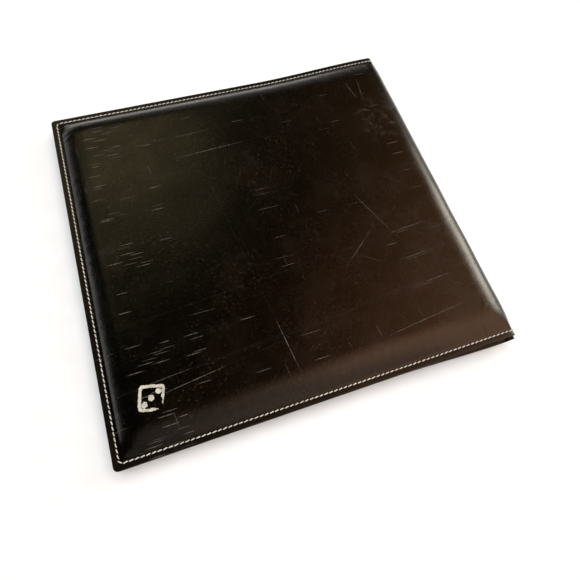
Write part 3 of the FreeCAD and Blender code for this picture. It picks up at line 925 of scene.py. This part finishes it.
def floor_material():
    """Matt white table top with the least trace of texture."""
    mat = Material("matt_white_floor")
    coords = mat.node("ShaderNodeTexCoord").outputs["Object"]
    grain = mat.noise(coords, 60.0, 3.0)
    base = mat.mix(mat.span(grain, 0.3, 0.7), colour(0.86, 0.86, 0.86), colour(0.89, 0.89, 0.89))
    mat.set(Base_Color=base, Roughness=0.9)
    return mat.material


def paint(obj, material):
    obj.data.materials.clear()
    obj.data.materials.append(material)


def keep_rest(obj):
    """Gives a CAD node's mesh the rest place that the materials read, without moving it."""
    points = np.empty(len(obj.data.vertices) * 3, np.float32)
    obj.data.vertices.foreach_get("co", points)
    layer = obj.data.attributes.new("rest", "FLOAT_VECTOR", "POINT")
    layer.data.foreach_set("vector", points)


# ---------------------------------------------------------------- the pieces, some of them on their bodies
skin_leather = leather("espresso_leather_worn", worn=True)
rim_leather = leather("espresso_leather_inside", worn=False)
felt = felt_material()
thread = thread_material()
foam = foam_material()
greyboard = board_material("pressed_greyboard", colour(0.16, 0.13, 0.10), colour(0.30, 0.26, 0.20),
                           (300, 900, 900))
wall_core = board_material("sanded_fibreboard", colour(0.22, 0.15, 0.09), colour(0.40, 0.29, 0.18),
                           (500, 500, 900))

for leaf in LEAVES:
    body = f"{leaf}_leaf"

    cover = build_cover(leaf)
    paint(cover, skin_leather)
    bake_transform(cover)
    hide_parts(f"{leaf}_cover_leather", "spine_leather")

    stitches = build_stitches(leaf)
    paint(stitches, thread)
    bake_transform(stitches)
    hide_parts(f"{leaf}_stitching", "spine_stitching")

    pad = build_foam(leaf)
    paint(pad, foam)
    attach(pad, body)
    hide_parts(f"{leaf}_cover_foam")

    rim = build_rim(leaf)
    paint(rim, rim_leather)
    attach(rim, body)
    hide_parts(f"{leaf}_rim_leather")

    caps = build_wall_ends(leaf)
    paint(caps, rim_leather)
    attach(caps, body)

    sheet = build_felt(leaf)
    paint(sheet, felt)
    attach(sheet, body)
    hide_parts(f"{leaf}_felt")

    lining = build_lining(leaf)
    paint(lining, felt)
    if leaf == "top":
        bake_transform(lining)
    else:
        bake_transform(lining)
    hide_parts("spine_lining")

for side in ("front", "back"):
    bolster = build_end_pad(side)
    paint(bolster, rim_leather)
    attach(bolster, "spine")
    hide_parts(f"spine_{side}_end_pad")

mark = build_mark()
paint(mark, foil_material())
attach(mark, "top_leaf")
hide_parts("foil_mark")

for node, finish in {"cover_board": greyboard, "front_wall": wall_core, "back_wall": wall_core,
                     "fore_edge_wall": wall_core}.items():
    for leaf in LEAVES:
        keep_rest(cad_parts[f"{leaf}_{node}"])
        paint(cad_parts[f"{leaf}_{node}"], finish)
for node, finish in {"spine_board": greyboard, "spine_foam": foam}.items():
    keep_rest(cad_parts[node])
    paint(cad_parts[node], finish)

# ---------------------------------------------------------------- floor, light and camera
FLOOR_SIZE = 6.0
FLOOR_LEVEL = -0.0002
bpy.ops.mesh.primitive_plane_add(size=FLOOR_SIZE, location=(0, 0, FLOOR_LEVEL))
floor = bpy.context.object
floor.name = "floor"
paint(floor, floor_material())


def soft_light(name, place_at, aim, width, height, power, tint):
    """A rectangular soft box that faces a point."""
    lamp = bpy.data.lights.new(name, "AREA")
    lamp.shape = "RECTANGLE"
    lamp.size, lamp.size_y = width, height
    lamp.energy = power
    lamp.color = tint
    obj = bpy.data.objects.new(name, lamp)
    obj.location = place_at
    obj.rotation_euler = (Vector(aim) - Vector(place_at)).to_track_quat("-Z", "Y").to_euler()
    bpy.context.scene.collection.objects.link(obj)
    return obj


overhead = soft_light("overhead", (0.2, 0.1, 2.2), aim=(0, 0, MID), width=3.0, height=3.0,
                      power=80, tint=(0.92, 0.97, 1.0))
overhead.visible_glossy = False

BACKDROP = (0.93, 0.93, 0.93)


class Sky(Nodes):
    """A dark studio with soft glows, each a patch of the sky with a blurred edge."""

    def __init__(self, fill):
        world = bpy.data.worlds.new("studio")
        bpy.context.scene.world = world
        world.use_nodes = True
        super().__init__(world.node_tree)
        self.background = self.tree.nodes["Background"]
        self.feed(self.background.inputs["Strength"], 1.0)
        self.direction = self.node("ShaderNodeTexCoord").outputs["Generated"]
        self.total = self.node("ShaderNodeRGB").outputs[0]
        self.total.default_value = colour(*fill)

    def glow(self, azimuth, elevation, core, reach, tint, strength):
        """Adds a glow round a direction; azimuth runs from +Y towards +X. core and reach are the
        angles at which it starts to fade and ends."""
        az, el = math.radians(azimuth), math.radians(elevation)
        axis = (math.sin(az) * math.cos(el), math.cos(az) * math.cos(el), math.sin(el))
        dot = self.node("ShaderNodeVectorMath", {0: self.direction, 1: axis},
                        operation="DOT_PRODUCT").outputs["Value"]
        fade = self.node("ShaderNodeMapRange", {
            "Value": self.math("ARCCOSINE", dot), "From Min": math.radians(core),
            "From Max": math.radians(reach), "To Min": strength,
            "To Max": 0.0}, interpolation_type="SMOOTHERSTEP").outputs[0]
        glow = self.node("ShaderNodeVectorMath", {0: tint, "Scale": fade},
                         operation="SCALE").outputs[0]
        self.total = self.node("ShaderNodeVectorMath", {0: self.total, 1: glow},
                               operation="ADD").outputs[0]

    def finish(self):
        """The camera sees a plain pale backdrop where the glows are."""
        seen = self.node("ShaderNodeLightPath").outputs["Is Camera Ray"]
        self.feed(self.background.inputs["Color"], self.mix(seen, self.total, colour(*BACKDROP)))


sky = Sky((0.003, 0.003, 0.002))
# The highlight along the spine.
sky.glow(75, 23, 3, 19.5, (1.0, 0.93, 0.78), 6.4)
# Warm sheen on the spine half of the cover.
sky.glow(84, 50, 5, 36, (1.0, 0.42, 0.12), 0.20)
sky.glow(50, 42, 5, 26, (1.0, 0.54, 0.22), 0.14)
sky.glow(105, 68, 3, 34, (1.0, 0.40, 0.12), 0.10)
# Olive sheen beside the back of the fore-edge.
sky.glow(-9, 48, 2, 16.5, (1.0, 0.79, 0.42), 0.66)
sky.glow(-38, 42, 2, 20, (1.0, 0.86, 0.48), 0.36)
# The back shoulder.
sky.glow(12, 8, 5, 34, (1.0, 0.88, 0.76), 0.22)
# The front shoulder, from the spine to the fore-edge.
sky.glow(127, 47, 8, 44, (1.0, 0.61, 0.40), 0.98)
sky.glow(166, 16, 6, 34, (1.0, 0.70, 0.52), 0.46)
sky.glow(198, 45, 5, 40, (1.0, 0.85, 0.72), 0.19)
sky.finish()

CAMERA_PLACE = Vector((-0.0612, -0.1601, 0.3090))
CAMERA_RIGHT = Vector((0.9450, -0.3180, 0.0767))
CAMERA_BACK = Vector((-0.1819, -0.3158, 0.9312))
camera_data = bpy.data.cameras.new("camera")
camera_data.lens = 25.9
camera_data.sensor_width = 36.0
camera_data.clip_start = 0.01
camera = bpy.data.objects.new("camera", camera_data)
back = CAMERA_BACK.normalized()
right = (CAMERA_RIGHT - back * CAMERA_RIGHT.dot(back)).normalized()
camera.matrix_world = Matrix.Translation(CAMERA_PLACE) @ Matrix(
    (right, back.cross(right), back)).transposed().to_4x4()
bpy.context.scene.collection.objects.link(camera)
bpy.context.scene.camera = camera
bpy.context.scene.view_settings.view_transform = "Standard"
